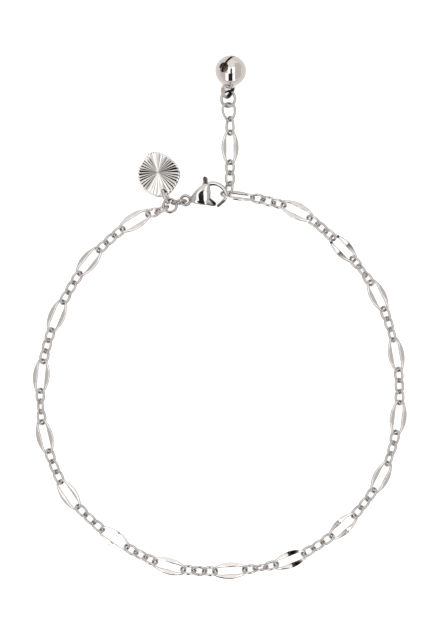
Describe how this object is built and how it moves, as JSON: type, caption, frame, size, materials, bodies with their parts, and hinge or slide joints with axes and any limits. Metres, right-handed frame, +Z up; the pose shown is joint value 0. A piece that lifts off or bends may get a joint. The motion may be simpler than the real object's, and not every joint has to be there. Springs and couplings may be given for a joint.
{
  "type": "anklet",
  "caption": "Steel anklet lying flat: a loop of small and long flattened links, with a lobster clasp, a pleated sunburst charm and an extender chain that ends in a jingle bell.",
  "frame": {"origin": "on the surface the anklet lies on, under the middle of its outer box", "axes": "+Z up from the surface, +Y towards the bell at the end of the extender, the clasp's hook towards +X"},
  "size_m": [0.0747, 0.1046, 0.0062],
  "materials": {
    "chain_steel": "polished, with flattened hammered sides on the long links",
    "clasp_steel": "mirror polished",
    "charm_steel": "polished radial pleats",
    "bell_steel": "mirror polished"
  },
  "bodies": {
    "anklet": {"chain": "chain_steel", "extender_chain": "chain_steel", "jump_ring": "chain_steel", "clasp_link": "chain_steel", "clasp_body": "clasp_steel", "clasp_pin": "clasp_steel", "sun_charm": "charm_steel", "charm_ring": "chain_steel", "end_ring": "chain_steel", "bell_ring": "chain_steel", "bell": "bell_steel", "bell_pellet": "bell_steel"},
    "lever": {"clasp_lever": "clasp_steel"}
  },
  "joints": [
    {"name": "lever_hinge", "type": "hinge", "parent": "anklet", "child": "lever", "pos_m": [-0.00329, 0.02413, 0.00161], "axis": [-0.0865, -0.0106, 0.9962], "range_deg": [0, 20], "stiffness_Nm_per_rad": 0.004, "springref_deg": -17.19}
  ]
}
